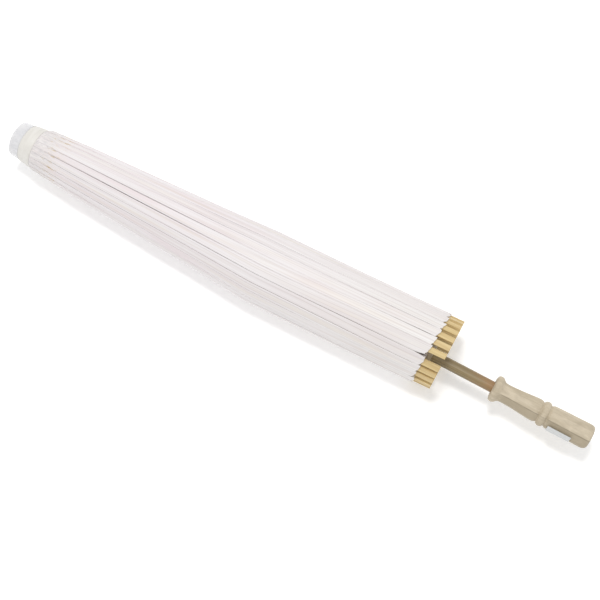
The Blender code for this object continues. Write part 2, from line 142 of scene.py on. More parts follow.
# The handle's turned outline from its collar, in mm: distance, radius. Its bore is in mm too.
HANDLE_OUTLINE = [
    (0.0, 8.4),
    (0.7, 10.5),
    (2.0, 11.4),
    (4.0, 11.6),
    (5.6, 10.9),
    (7.0, 9.7),
    (8.6, 8.8),
    (13.0, 8.5),
    (21.0, 8.85),
    (31.0, 9.7),
    (38.5, 10.3),
    (42.0, 10.0),
    (43.6, 9.0),
    (45.0, 10.5),
    (47.0, 11.2),
    (49.2, 10.7),
    (50.8, 9.2),
    (52.6, 10.4),
    (58.0, 10.75),
    (72.0, 11.0),
    (84.0, 11.2),
    (87.4, 10.9),
    (89.3, 9.9),
    (90.0, 8.4),
]
HANDLE_BORE = 5.0
HANDLE_ROUND, HANDLE_FINER = 160, 5

# Its facets: how flat they are, and how many of the handle's round steps they are turned by
HANDLE_SIDES, HANDLE_FACETING = 8, 0.80
HANDLE_TURN_STEPS = 7
BEAD_AT = 47.2 * MM

CAMERA_AT = Vector((0.1472, -0.2590, 0.9889))
CAMERA_TARGET = Vector((0.0126, -0.0139, 0.0330))
CAMERA_LENS = 69.6

KEY_AT = Vector((-0.2, 0.18, 1.9))
KEY_SIZE, KEY_POWER, KEY_COLOUR = 0.36, 14, (1.0, 0.99, 0.975)
WORLD_STRENGTH = 0.74
FLOOR_HALF_SIZE, FLOOR_GLOW = 12, 0.2


# Shape helpers


def between(stations, x):
    """A station list's value at x, on straight runs between stations."""
    if x <= stations[0][0]:
        return stations[0][1]
    for (x0, y0), (x1, y1) in zip(stations, stations[1:]):
        if x <= x1:
            return y0 + (y1 - y0) * (x - x0) / (x1 - x0)
    return stations[-1][1]


def stepped(value, start, end):
    """A smooth step from 0 at start to 1 at end."""
    share = min(1.0, max(0.0, (value - start) / (end - start)))
    return share * share * (3 - 2 * share)


def radial(azimuth):
    """The way out from the shaft."""
    return Vector((0, -sin(azimuth), cos(azimuth)))


def tangential(azimuth):
    """The way round the shaft."""
    return Vector((0, -cos(azimuth), -sin(azimuth)))


def azimuth_of(index):
    """A rib's azimuth."""
    return PITCH / 2 + index * PITCH


def lean_at(x):
    """How far the bundle has leant to +Y."""
    if x <= LEAN_START:
        return 0.0
    return LEAN * ((x - LEAN_START) / (RIB_END - LEAN_START)) ** LEAN_POWER


def side_shift(azimuth, x):
    """How far a rib at that azimuth is pushed round the bundle by the gaps between the tails."""
    total = 0.0
    for gap, spread, reach in TAIL_GAPS:
        away = (azimuth - gap + pi) % (2 * pi) - pi
        share = max(0.0, 1 - abs(away) / reach)
        total += (spread / 2) * share * (1 if away > 0 else -1)
    return total * stepped(x, GAP_START, GAP_FULL)


def wander(a, b, c=0.0):
    """Smooth noise from about -1 to 1."""
    return noise.noise(Vector((a, b, c)))


def new_object(name, bm, look):
    """A smooth-shaded object made of a bmesh, which it uses up."""
    bmesh.ops.recalc_face_normals(bm, faces=bm.faces)
    mesh = bpy.data.meshes.new(name)
    bm.to_mesh(mesh)
    bm.free()
    made = bpy.data.objects.new(name, mesh)
    bpy.context.scene.collection.objects.link(made)
    mesh.materials.append(look)
    mesh.shade_smooth()
    return made


# Material helpers


class Look:
    """A material's node tree, with the few nodes that the materials here share."""

    def __init__(self, name, roughness=0.5, **sockets):
        self.material = bpy.data.materials.new(name)
        self.material.use_nodes = True
        self.tree = self.material.node_tree
        self.shader = self.tree.nodes["Principled BSDF"]
        self.shader.inputs["Roughness"].default_value = roughness
        for socket, value in sockets.items():
            self.shader.inputs[socket.replace("_", " ")].default_value = value

    def node(self, kind, **settings):
        made = self.tree.nodes.new("ShaderNode" + kind)
        for key, value in settings.items():
            setattr(made, key, value)
        return made

    def link(self, source, target):
        self.tree.links.new(source, target)

    def places(self, stretch):
        """Object coordinates stretched along each axis."""
        coordinates = self.node("TexCoord")
        mapping = self.node("Mapping")
        mapping.inputs["Scale"].default_value = stretch
        self.link(coordinates.outputs["Object"], mapping.inputs["Vector"])
        return mapping.outputs["Vector"]

    def attribute(self, name, output="Fac"):
        return self.node("Attribute", attribute_name=name).outputs[output]

    def noise(self, vector, scale=1.0, detail=4.0, roughness=0.55, distortion=0.0):
        made = self.node("TexNoise")
        self.link(vector, made.inputs["Vector"])
        made.inputs["Scale"].default_value = scale
        made.inputs["Detail"].default_value = detail
        made.inputs["Roughness"].default_value = roughness
        made.inputs["Distortion"].default_value = distortion
        return made.outputs["Fac"]

    def ramp(self, value, *stops):
        """A colour ramp: each stop is a place and a colour."""
        made = self.node("ValToRGB")
        elements = made.color_ramp.elements
        while len(elements) < len(stops):
            elements.new(0.5)
        for element, (place, colour) in zip(elements, stops):
            element.position = place
            element.color = (*colour, 1)
        self.link(value, made.inputs["Fac"])
        return made.outputs["Color"]

    def math(self, operation, a, b=0.0):
        made = self.node("Math", operation=operation)
        for socket, value in zip(made.inputs, (a, b)):
            if isinstance(value, (int, float)):
                socket.default_value = value
            else:
                self.link(value, socket)
        return made.outputs[0]

    def range(self, value, low, high, out_low=0.0, out_high=1.0):
        """value carried from one range to another, and kept within it."""
        made = self.node("MapRange")
        self.link(value, made.inputs["Value"])
        for socket, number in zip(("From Min", "From Max", "To Min", "To Max"),
                                  (low, high, out_low, out_high)):
            made.inputs[socket].default_value = number
        return made.outputs["Result"]

    def mix(self, share, a, b):
        made = self.node("Mix", data_type="RGBA")
        for socket, value in zip((made.inputs[0], made.inputs[6], made.inputs[7]), (share, a, b)):
            if isinstance(value, (int, float)):
                socket.default_value = value
            elif isinstance(value, tuple):
                socket.default_value = (*value, 1)
            else:
                self.link(value, socket)
        return made.outputs[2]

    def wash(self, tone, value, start, full, strength, colour, where=None):
        """Lays a colour over the tone as value goes from start to full, only where it is told."""
        share = self.range(value, start, full, 0.0, strength)
        if where is not None:
            share = self.math("MULTIPLY", where, share)
        return self.mix(share, tone, colour)

    def colour(self, value):
        self.link(value, self.shader.inputs["Base Color"])

    def roughness(self, value):
        self.link(value, self.shader.inputs["Roughness"])

    def bump(self, height, distance, strength=1.0):
        made = self.node("Bump")
        made.inputs["Strength"].default_value = strength
        made.inputs["Distance"].default_value = distance
        self.link(height, made.inputs["Height"])
        self.link(made.outputs["Normal"], self.shader.inputs["Normal"])


def scaled(factor, numbers):
    return tuple(factor * number for number in numbers)


def grain(name, light, dark, roughness, stretch, worn=False):
    """Wood or bamboo: long streaks along the shaft, fine pores and slow changes of tone. Worn wood
    has blotches too, dark worn lines and a painted shade where a piece's attributes say so."""
    look = Look(name, roughness)
    streaks = look.noise(look.places(stretch), 1.0, 6.0, 0.62, 0.4)
    middle = tuple((a + b) / 2 for a, b in zip(light, dark))
    tone = look.ramp(streaks, (0.3, dark), (0.52, middle), (0.72, light))
    fine = look.noise(look.places(scaled(3.2, stretch)), 1.0, 3.0, 0.7)
    tone = look.wash(tone, fine, 0.46, 0.34, 0.25, scaled(0.55, dark))
    slow = look.noise(look.places((9, 60, 60)), 1.0, 2.0)
    tone = look.wash(tone, slow, 0.3, 0.75, 0.3, scaled(1.08, light))
    if worn:
        blotches = look.noise(look.places((85, 150, 150)), 1.0, 3.0, 0.6, 0.6)
        tone = look.wash(tone, blotches, 0.52, 0.66, 0.28, scaled(1.22, light))
        tone = look.wash(tone, blotches, 0.46, 0.34, 0.28, scaled(0.82, dark))
        # Painted shade: the handle's two lower facets are darkened as if they lay in shadow
        tone = look.wash(tone, look.attribute("painted_shade_lower_facets"), 0.0, 1.0, 0.6, scaled(0.82, dark))
        broken = look.range(fine, 0.3, 0.6, 0.95, 0.6)
        lined = look.math("MULTIPLY", look.attribute("worn_line"), broken)
        tone = look.mix(lined, tone, scaled(0.5, dark))
    look.colour(tone)
    look.roughness(look.range(streaks, 0.3, 0.7, roughness + 0.1, roughness - 0.06))
    look.bump(look.math("ADD", streaks, look.math("MULTIPLY", fine, 0.5)), 0.15 * MM, 0.6)
    return look.material


def shaft_look():
    """Stained bamboo, olive brown with a redder end by the handle."""
    look = Look("shaft_bamboo", 0.42)
    streaks = look.noise(look.places((9, 620, 620)), 1.0, 5.0, 0.6, 0.3)
    tone = look.ramp(
        streaks,
        (0.32, (0.12, 0.085, 0.04)),
        (0.5, (0.235, 0.175, 0.085)),
        (0.68, (0.36, 0.285, 0.16)),
    )
    along = look.node("SeparateXYZ")
    look.link(look.places((1, 1, 1)), along.inputs[0])
    handle = AXIS.x + HANDLE_START
    by_handle = look.range(along.outputs["X"], handle - 26 * MM, handle)
    slow = look.noise(look.places((30, 160, 160)), 1.0, 3.0)
    reddened = look.math("MULTIPLY", by_handle, look.range(slow, 0.40, 0.6, 0.1, 0.6))
    look.colour(look.mix(reddened, tone, (0.40, 0.21, 0.09)))
    look.roughness(look.range(streaks, 0.3, 0.7, 0.5, 0.36))
    look.bump(streaks, 0.12 * MM, 0.5)
    return look.material


def paper_look():
    """Oiled mulberry paper: white with a faint blush, long fibres, thin darker lines along the ribs'
    edges and a painted shade deep in the folds. It is mottled and a little stained where it is
    gathered at the crown."""
    look = Look("oiled_paper", 0.5, Specular_IOR_Level=0.3, Sheen_Weight=0.08)
    place = look.attribute("sheet_place", "Vector")

    def drawn(along, across, *settings):
        """Noise on the flat paper, at a scale along the shaft and another across it."""
        made = look.node("Mapping")
        made.inputs["Scale"].default_value = (along, across, 1)
        look.link(place, made.inputs["Vector"])
        return look.noise(made.outputs["Vector"], 1.0, *settings)

    split = look.node("SeparateXYZ")
    look.link(place, split.inputs[0])
    fibres = drawn(5, 1300, 5.0, 0.6, 0.2)
    streaks = drawn(3.5, 430, 3.0, 0.6, 0.2)
    blush = drawn(9, 70, 3.0, 0.5)
    panels = drawn(1.3, 31, 2.0)
    broad = drawn(5, 160, 4.0, 0.6)
    mottles = drawn(170, 330, 3.0, 0.6, 0.5)
    spots = drawn(130, 300, 3.0, 0.6, 0.4)
    gathered = look.attribute("gathered")
    across = look.math("ABSOLUTE", look.attribute("share"))
    off_rib_edge = look.math("ABSOLUTE", look.math("SUBTRACT", across, RIB_SHARE))
    over_rib = look.range(across, RIB_SHARE, RIB_SHARE - 0.08)
    uneven = look.range(broad, 0.42, 0.56)

    tint = look.ramp(
        blush,
        (0.36, (0.775, 0.70, 0.715)),
        (0.5, (0.80, 0.76, 0.775)),
        (0.66, (0.815, 0.79, 0.80)),
    )
    # Each wash: what drives it, where it starts and is full, its strength, colour and place
    washes = [
        (split.outputs["X"], 0.20, 0.40, 0.65, (0.80, 0.785, 0.755)),
        (panels, 0.48, 0.34, 0.5, (0.74, 0.69, 0.69)),
        (panels, 0.53, 0.66, 0.5, (0.83, 0.815, 0.80)),
        (streaks, 0.48, 0.34, 0.5, (0.66, 0.60, 0.60)),
        (fibres, 0.47, 0.36, 0.5, (0.60, 0.54, 0.53)),
        (fibres, 0.56, 0.68, 0.5, (0.86, 0.845, 0.85)),
        (broad, 0.46, 0.62, 0.22, (0.72, 0.62, 0.47), over_rib),
        # A thin darker line along each rib's edge, in some panels
        (off_rib_edge, 0.06, 0.0, 0.8, (0.60, 0.54, 0.53), uneven),
        # Painted shade: the paper is darkened deep in its folds, where shade falls
        (look.attribute("painted_fold_shade"), 0.0, 1.0, 0.15, (0.58, 0.45, 0.36)),
        (mottles, 0.56, 0.42, 0.6, (0.60, 0.585, 0.58), gathered),
        (mottles, 0.52, 0.66, 0.6, (0.84, 0.815, 0.76), gathered),
        (spots, 0.53, 0.62, 1.0, (0.60, 0.45, 0.22), look.attribute("crown_stain")),
    ]
    for wash in washes:
        tint = look.wash(tint, *wash)
    look.colour(tint)
    look.roughness(look.range(fibres, 0.3, 0.7, 0.56, 0.44))
    look.bump(look.math("ADD", streaks, look.math("MULTIPLY", mottles, 0.5)), 0.22 * MM, 0.4)
    return look.material


def band_look():
    """Cream paper wrapped in rounds."""
    look = Look("band_paper", 0.55, Specular_IOR_Level=0.35)
    wrap = look.noise(look.places((260, 60, 60)), 1.0, 4.0, 0.6)
    fine = look.noise(look.places((900, 900, 900)), 1.0, 3.0, 0.6)
    look.colour(
        look.ramp(
            wrap,
            (0.3, (0.69, 0.67, 0.63)),
            (0.55, (0.75, 0.73, 0.69)),
            (0.75, (0.78, 0.77, 0.74)),
        )
    )
    look.bump(look.math("ADD", wrap, look.math("MULTIPLY", fine, 0.3)), 0.3 * MM, 0.5)
    return look.material


def plastic_look():
    """Cloudy clear plastic, a little scuffed."""
    look = Look("clear_plastic", 0.26, IOR=1.45, Subsurface_Weight=0.35, Subsurface_Radius=(1, 1, 1),
                Subsurface_Scale=0.003, Coat_Weight=0.4, Coat_Roughness=0.12)
    cloud = look.noise(look.places((90, 90, 90)), 1.0, 3.0, 0.5)
    scuffs = look.noise(look.places((300, 500, 500)), 1.0, 2.0, 0.5, 0.6)
    look.colour(look.ramp(cloud, (0.35, (0.70, 0.70, 0.725)), (0.65, (0.775, 0.77, 0.785))))
    look.roughness(look.range(scuffs, 0.35, 0.65, 0.30, 0.20))
    look.bump(cloud, 0.05 * MM, 0.3)
    return look.material


def label_look():
    """A blank label."""
    look = Look("label_paper", 0.4, Specular_IOR_Level=0.5)
    fine = look.noise(look.places((700, 700, 700)), 1.0, 3.0)
    look.colour(look.ramp(fine, (0.3, (0.60, 0.61, 0.61)), (0.7, (0.67, 0.68, 0.68))))
    look.bump(fine, 0.03 * MM, 0.4)
    return look.material


def steel_look():
    """Drawn wire, a little dull."""
    look = Look("steel_wire", 0.35, Metallic=1.0)
    drawn = look.noise(look.places((800, 800, 800)), 1.0, 3.0)
    look.colour(look.ramp(drawn, (0.3, (0.48, 0.47, 0.45)), (0.7, (0.66, 0.66, 0.65))))
    look.roughness(look.range(drawn, 0.3, 0.7, 0.45, 0.28))
    return look.material


# The paper


def open_radius(x, radius):
    """How far from the shaft a point of the closed umbrella is when its rib is at its limit."""
    return PIVOT_RADIUS + (x - HINGE_X) * sin(OPEN_ANGLE) + (radius - PIVOT_RADIUS) * cos(OPEN_ANGLE)


def half_section(index, side, x):
    """One side of a strip's folded section, from over its rib to its last fold. Each point is a
    radius, its share of the way to the next rib's side, and how far it belongs to the fold."""
    cover = between(PAPER_RADII, x)
    gathered = 1 - stepped(x, PAPER_START + 12 * MM, GATHER_END)
    free = stepped(x, PAPER_START, PAPER_START + 3 * MM)

    # How far the crease gapes here, and where it runs
    crease = (index + (1 if side > 0 else 0)) % RIB_COUNT
    opened = stepped(wander(crease * 2.7 + 11, x * 5), -0.30, 0.50) * (1 - 0.8 * gathered)
    opened *= 1 - 0.7 * stepped(x, GAP_START - 60 * MM, GAP_START) * (crease in GAP_CREASES)
    moved = 0.28 * wander(crease * 3.1 + 70, x * 3) * (1 - gathered) * side
    lip = 0.996 - 0.06 * opened + moved
    sunk = (0.07 + 0.75 * opened) * MM

    # The strip's own rise and tilt over its rib
    lift = 0.34 * MM * wander(index * 5.1, x * 9) * (1 - 0.6 * gathered)
    tilt = side * 0.55 * MM * wander(index * 2.3 + 40, x * 6)

    # The spare width goes down into the bundle and part of the way back
    spare = max(0.0, open_radius(x, cover) * HALF_PITCH - cover * HALF_PITCH)
    down = max(1.4 * MM, min(0.42 * spare, cover - DEEPEST_FOLD))
    back = max(0.5 * MM, min(0.29 * spare, 0.7 * down))
    deep, top, last = cover - down, cover - down + back, cover - down + 0.05 * back

    def surface(share):
        lump = 0.5 * MM * gathered * wander(x * 260, (index + 0.5 + 0.5 * share * side) * 1.9, 5.0)
        return cover + free * (lift + tilt * share * share + lump)

    over_rib = [(surface(share), share, 0.0) for share in (0.0, 0.22 * lip, 0.45 * lip, 0.68 * lip)]
    into_crease = [
        (surface(0.85 * lip) - 0.1 * sunk, 0.85 * lip, 0.0),
        (surface(lip) - 0.45 * sunk, lip - 0.02, 0.1),
        (surface(lip) - sunk - (0.10 + 0.3 * opened) * MM, lip, 0.3),
        (cover - sunk - 0.9 * MM - 0.04 * down, lip - 0.05, 0.45),
    ]
    down_and_round = [
        (cover - 0.3 * down - 0.9 * MM, 0.80, 0.6),
        (cover - 0.65 * down, 0.77, 0.7),
        (deep + 0.1 * down, 0.76, 0.75),
        (deep, 0.79, 0.8),
        (deep + 0.1 * down, 0.83, 0.8),
    ]
    back_up_and_round = [
        (0.5 * (deep + top), 0.84, 0.85),
        (top - 0.1 * back, 0.86, 0.9),
        (top, 0.89, 0.9),
        (top - 0.1 * back, 0.92, 0.95),
    ]
    to_shared_edge = [(0.5 * (top + last), 0.96, 1.0), (last, 1.0, 1.0)]
    return over_rib + into_crease + down_and_round + back_up_and_round + to_shared_edge


def strip_section(index, x):
    """A strip's whole section, from one neighbour's edge to the other's."""
    left = half_section(index, -1, x)
    right = half_section(index, 1, x)
    return [(radius, -share, own) for radius, share, own in reversed(left)] + right[1:]


def flat_spans(section):
    """Each section point's place across the flat paper, from -1 to 1."""
    lengths = [0.0]
    for (r0, s0, _), (r1, s1, _) in zip(section, section[1:]):
        step = Vector((r1 - r0, (s1 * r1 - s0 * r0) * HALF_PITCH))
        lengths.append(lengths[-1] + step.length)
    middle = lengths[len(section) // 2]
    spans = []
    for (_, share, _), length in zip(section, lengths):
        reach = middle if share < 0 else lengths[-1] - middle
        spans.append((length - middle) / reach)
    return spans


def strip_place(index, x, radius, share, own):
    """A section point's undisturbed place in the plane of its rib, and the drop that the
    bundle's lean and the tails' gaps add. The paper spans a gap, but for its mouth at the rim."""
    azimuth = azimuth_of(index)
    edge = azimuth + (PITCH / 2 if share > 0 else -PITCH / 2)
    near = side_shift(azimuth, x)
    beyond = side_shift(azimuth + (PITCH if share > 0 else -PITCH), x)
    mouth = stepped(x, PAPER_END - GAP_MOUTH, PAPER_END)
    spans = max(own, stepped(abs(share), RIB_SHARE, 1.0) * (1 - mouth))
    drop = tangential(azimuth) * near * (1 - spans) + tangential(edge) * 0.5 * (near + beyond) * spans
    drop += Vector((0, lean_at(x), 0))
    base = AXIS + ALONG * x + radial(azimuth) * radius
    return base, drop


def open_drop(index, x, span):
    """The part of the lean and the gaps that stays when the umbrella is open: the rib's own over
    the rib, and at the strip's edge the one that both its neighbours share."""
    azimuth = azimuth_of(index)
    edge = azimuth + (PITCH / 2 if span > 0 else -PITCH / 2)
    near = side_shift(azimuth, x)
    beyond = side_shift(azimuth + (PITCH if span > 0 else -PITCH), x)
    lean = Vector((0, lean_at(x), 0))
    over_rib = tangential(azimuth) * near + lean
    at_edge = tangential(edge) * 0.5 * (near + beyond) + lean
    rib_turn = Matrix.Rotation(OPEN_ANGLE, 3, ALONG.cross(radial(azimuth)))
    edge_turn = Matrix.Rotation(OPEN_ANGLE, 3, ALONG.cross(radial(edge)))
    return over_rib.lerp(rib_turn.transposed() @ (edge_turn @ at_edge), abs(span))


def rim_nudge(index, x, share, own):
    """How far a point near the rim is moved along the shaft: the rim is cut a little aslant, with
    uneven teeth over the ribs."""
    teeth = 1.5 * wander(index * 1.9, 5.0) - 1.1 * share - 1.2 * abs(share) ** 3
    teeth += 0.8 * wander(index * 4.3, share * 3.0)
    slant = RIM_SLANT * (1 + sin(azimuth_of(index) + share * PITCH / 2 - SLANT_FROM))
    return (teeth * MM * (1 - own) + slant) * stepped(x, PAPER_END - RIM_TEETH, PAPER_END)


def strip_point(index, x, radius, share, own, span):
    """Where a point of a strip lies while folded, and the values that the modifier and the
    material read from it."""
    azimuth = azimuth_of(index)
    out, across = radial(azimuth), tangential(azimuth)
    nudge = rim_nudge(index, x, share, own)
    base, drop = strip_place(index, x, radius, share, own)
    base += ALONG * nudge
    sideways = across * share * radius * HALF_PITCH
    base.z += max(0.0, LOWEST - (base.z + drop.z + sideways.z))
    line_radius = between(RIB_RADII, x) + PAPER_LIFT - SAG * (x - HINGE_X) * abs(span)
    line = AXIS + ALONG * (x + nudge) + out * line_radius
    stained = stepped(x, 34 * MM, 40 * MM) * (1 - stepped(x, 46 * MM, 60 * MM))
    values = {
        "base": base,
        "rise": line - base,
        "drop": drop,
        "open_drop": open_drop(index, x, span),
        "sheet_place": Vector((x, (index + 0.5 + 0.5 * span) * SHEET_PITCH, 0)),
        "share": share,
        "span": span,
        "crown": 1 - stepped(x, PAPER_START + 1 * MM, CROWN_END),
        # How deep the point lies in its fold, for the paper's painted shade
        "painted_fold_shade": min(1.0, own * 1.6),
        "gathered": 1 - stepped(x, 36 * MM, GATHER_END),
        "crown_stain": stained * stepped(abs(share), 0.3, 0.8),
    }
    return base + sideways + drop, values


def strip_mesh(index):
    """A strip's rows of points from the band to the rim, with a layer for each of their values."""
    bm = bmesh.new()
    layers = {name: bm.verts.layers.float_vector.new(name) for name in STRIP_VECTORS}
    layers |= {name: bm.verts.layers.float.new(name) for name in STRIP_NUMBERS}
    rows = []
    for step in range(PAPER_STEPS + 1):
        part = (step / PAPER_STEPS) ** PAPER_CROWDING
        x = PAPER_START + (PAPER_END - PAPER_START) * part
        section = strip_section(index, x)
        row = []
        for (radius, share, own), span in zip(section, flat_spans(section)):
            place, values = strip_point(index, x, radius, share, own, span)
            vertex = bm.verts.new(place)
            for name, value in values.items():
                vertex[layers[name]] = value
            row.append(vertex)
        rows.append(row)
    for near, far in zip(rows, rows[1:]):
        for corners in zip(near, near[1:], far[1:], far):
            bm.faces.new(corners)
    return bm


def make_strip(index, look, unfolding, root):
    """The paper over one rib. It rides on the rib, and its modifier unfolds it."""
    out, across = radial(azimuth_of(index)), tangential(azimuth_of(index))
    strip = new_object(f"paper_strip_{index + 1:02d}", strip_mesh(index), look)
    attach(strip, f"rib_{index + 1:02d}")
    spread = strip.modifiers.new("unfold", "NODES")
    spread.node_group = unfolding
    sockets = {item.name: item.identifier for item in unfolding.interface.items_tree}
    spread[sockets["Shaft"]] = root
    spread[sockets["Hinge"]] = AXIS + ALONG * HINGE_X + out * PIVOT_RADIUS
    spread[sockets["Out"]] = out
    spread[sockets["Across"]] = across
    return strip


def unfolding_nodes():
    """Geometry nodes that spread a strip as its rib turns away from the shaft."""
    tree = bpy.data.node_groups.new("unfold_paper", "GeometryNodeTree")
    face = tree.interface
    face.new_socket("Geometry", in_out="INPUT", socket_type="NodeSocketGeometry")
    face.new_socket("Shaft", in_out="INPUT", socket_type="NodeSocketObject")
    for name in ("Hinge", "Out", "Across"):
        face.new_socket(name, in_out="INPUT", socket_type="NodeSocketVector")
    face.new_socket("Geometry", in_out="OUTPUT", socket_type="NodeSocketGeometry")
    given = tree.nodes.new("NodeGroupInput").outputs
    result = tree.nodes.new("NodeGroupOutput")

    def put(socket, value):
        if isinstance(value, bpy.types.NodeSocket):
            tree.links.new(value, socket)
        else:
            socket.default_value = value

    def math(operation, a, b=0.0, clamp=False):
        made = tree.nodes.new("ShaderNodeMath")
        made.operation, made.use_clamp = operation, clamp
        put(made.inputs[0], a)
        put(made.inputs[1], b)
        return made.outputs[0]

    def vector(operation, a, b=None, scale=None):
        made = tree.nodes.new("ShaderNodeVectorMath")
        made.operation = operation
        put(made.inputs[0], a)
        if b is not None:
            put(made.inputs[1], b)
        if scale is not None:
            put(made.inputs["Scale"], scale)
        return made.outputs["Value" if operation == "DOT_PRODUCT" else "Vector"]

    def stored(name, kind="FLOAT"):
        made = tree.nodes.new("GeometryNodeInputNamedAttribute")
        made.data_type = kind
        made.inputs["Name"].default_value = name
        return made.outputs["Attribute"]

    def turned(kind, value, transform):
        made = tree.nodes.new("FunctionNodeTransform" + kind)
        put(made.inputs[0], value)
        put(made.inputs[1], transform)
        return made.outputs[0]

    shaft = tree.nodes.new("GeometryNodeObjectInfo")
    shaft.transform_space = "RELATIVE"
    put(shaft.inputs["Object"], given["Shaft"])
    transform = shaft.outputs["Transform"]
    shaft_way = turned("Direction", tuple(ALONG), transform)
    out_way = turned("Direction", given["Out"], transform)

    # How far the paper is unfolded, from the sine of the rib's turn over its sine at the limit
    turn = vector("DOT_PRODUCT", shaft_way, given["Out"])
    sine = math("MULTIPLY", turn, -1 / sin(OPEN_ANGLE), True)
    still_folded = math("SQRT", math("SUBTRACT", 1.0, math("MULTIPLY", sine, sine), True))
    unfolded = math("SUBTRACT", 1.0, still_folded)

    # The point's place in its rib's plane, and its distance from the shaft's line as it stands
    risen = vector("SCALE", stored("rise", "FLOAT_VECTOR"), scale=unfolded)
    plane = vector("ADD", stored("base", "FLOAT_VECTOR"), risen)
    past_hinge = vector("DOT_PRODUCT", vector("SUBTRACT", plane, given["Hinge"]), out_way)
    distance = math("ADD", past_hinge, PIVOT_RADIUS)

    # Its place across the strip
    share = stored("share")
    widened = math("MULTIPLY", unfolded, math("SUBTRACT", stored("span"), share))
    sideways = math("MULTIPLY", math("MULTIPLY", math("ADD", share, widened), distance), HALF_PITCH)
    place = vector("ADD", plane, vector("SCALE", given["Across"], scale=sideways))

    # The lean and the gaps, which change from the folded bundle's to the open ribs'
    folded_drop = vector("SCALE", stored("drop", "FLOAT_VECTOR"), scale=still_folded)
    kept_drop = vector("SCALE", stored("open_drop", "FLOAT_VECTOR"), scale=unfolded)
    place = vector("ADD", vector("ADD", place, folded_drop), kept_drop)

    # The top edge stays with the band
    position = tree.nodes.new("GeometryNodeInputPosition").outputs[0]
    at_rest = turned("Point", position, transform)
    held = vector("SCALE", vector("SUBTRACT", at_rest, place), scale=stored("crown"))
    moved = tree.nodes.new("GeometryNodeSetPosition")
    put(moved.inputs["Geometry"], given["Geometry"])
    put(moved.inputs["Position"], vector("ADD", place, held))
    put(result.inputs["Geometry"], moved.outputs["Geometry"])
    return tree


def make_canopy(look, root):
    """The 24 strips. A flat strip is as wide as the gap between two open ribs, at each end."""
    unfolding = unfolding_nodes()
    strips = [make_strip(index, look, unfolding, root) for index in range(RIB_COUNT)]
    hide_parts("canopy")


# The solid pieces


def spun(outline, around, shape):
    """Rings of points spun round the shaft's line. shape gives a ring's radius at each azimuth."""
    bm = bmesh.new()
    rings = []
    for x, radius in outline:
        ring = []
        for step in range(around):
            azimuth = 2 * pi * step / around
            reach = shape(x, radius, azimuth)
            ring.append(bm.verts.new(AXIS + ALONG * x + radial(azimuth) * reach))
        rings.append(ring)
    return bm, rings


def bridge(bm, rings, closed=False):
    """Faces from each ring to the next, and from the last back to the first if closed."""
    pairs = list(zip(rings, rings[1:])) + ([(rings[-1], rings[0])] if closed else [])
    for near, far in pairs:
        count = len(near)
        for step in range(count):
            after = (step + 1) % count
            bm.faces.new((near[step], near[after], far[after], far[step]))


def smooth_outline(points, finer):
    """A Catmull-Rom curve through the points, with finer steps between each two."""

    def curve(a, b, c, d, t):
        bend = (2 * a - 5 * b + 4 * c - d) * t * t + (3 * b - a - 3 * c + d) * t**3
        return 0.5 * (2 * b + (c - a) * t + bend)

    padded = [points[0], *points, points[-1]]
    made = []
    for four in zip(padded, padded[1:], padded[2:], padded[3:]):
        for step in range(finer):
            made.append(tuple(curve(*numbers, step / finer) for numbers in zip(*four)))
    return made + [points[-1]]


def make_handle(look):
    """The turned handle, eased towards an octagon, with slightly uneven hand-cut facets. Its
    attributes mark the facets' worn edges and the two facets on its lower side that get a painted
    shade."""
    side = 2 * pi / HANDLE_SIDES
    turn = HANDLE_TURN_STEPS * 2 * pi / HANDLE_ROUND

    def faceted(x):
        """How far the handle is cut flat there: its collar and its bead stay round."""
        off_bead = abs(x - HANDLE_START - BEAD_AT)
        past_collar = stepped(x, HANDLE_START + 5 * MM, HANDLE_START + 13 * MM)
        return past_collar * (0.25 + 0.75 * stepped(off_bead, 3.4 * MM, 5.5 * MM))

    def eased(x, radius, azimuth):
        turned = azimuth + turn
        edge = 0.05 * wander(int(turned / side) * 3.0, (x - HANDLE_START) * 20)
        away = (turned % side) - side / 2
        flat = cos(side / 2) / cos(away)
        worn = HANDLE_FACETING * faceted(x) * (1 + edge) * (1 - flat)
        return radius * (1 - worn) + 0.06 * MM * wander(x * 160, cos(azimuth) * 2, sin(azimuth) * 2)

    bore = [(6.0, HANDLE_BORE), (0.2, 1.01 * HANDLE_BORE)]
    turned_outline = smooth_outline(HANDLE_OUTLINE, HANDLE_FINER)
    outline = [(HANDLE_START + x * MM, radius * MM) for x, radius in bore + turned_outline]
    bm, rings = spun(outline, HANDLE_ROUND, eased)
    bridge(bm, rings)
    middle = bm.verts.new(AXIS + ALONG * (outline[-1][0] + 0.05 * MM))
    for step, vertex in enumerate(rings[-1]):
        bm.faces.new((vertex, rings[-1][(step + 1) % HANDLE_ROUND], middle))
    handle = new_object("handle_turned", bm, look)
    facet_steps = HANDLE_ROUND // HANDLE_SIDES
    first_edge = facet_steps - HANDLE_TURN_STEPS
    edges = [0.0] * HANDLE_ROUND
    edges[first_edge::facet_steps] = [0.25] * HANDLE_SIDES
    edges[first_edge:first_edge + 2] = [1.0, 0.7]
    # Painted shade on the two facets of the handle's lower side
    shade_ring = [0.0] * HANDLE_ROUND
    shade_ring[first_edge + 1:first_edge + 2 * facet_steps] = [1.0] * (2 * facet_steps - 1)
    for name, ring_values in (("worn_line", edges), ("painted_shade_lower_facets", shade_ring)):
        values = [value * faceted(x) for x, _ in outline for value in ring_values]
        attribute = handle.data.attributes.new(name, "FLOAT", "POINT")
        attribute.data.foreach_set("value", values + [0.0])
    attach(handle, "root")
    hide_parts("handle")


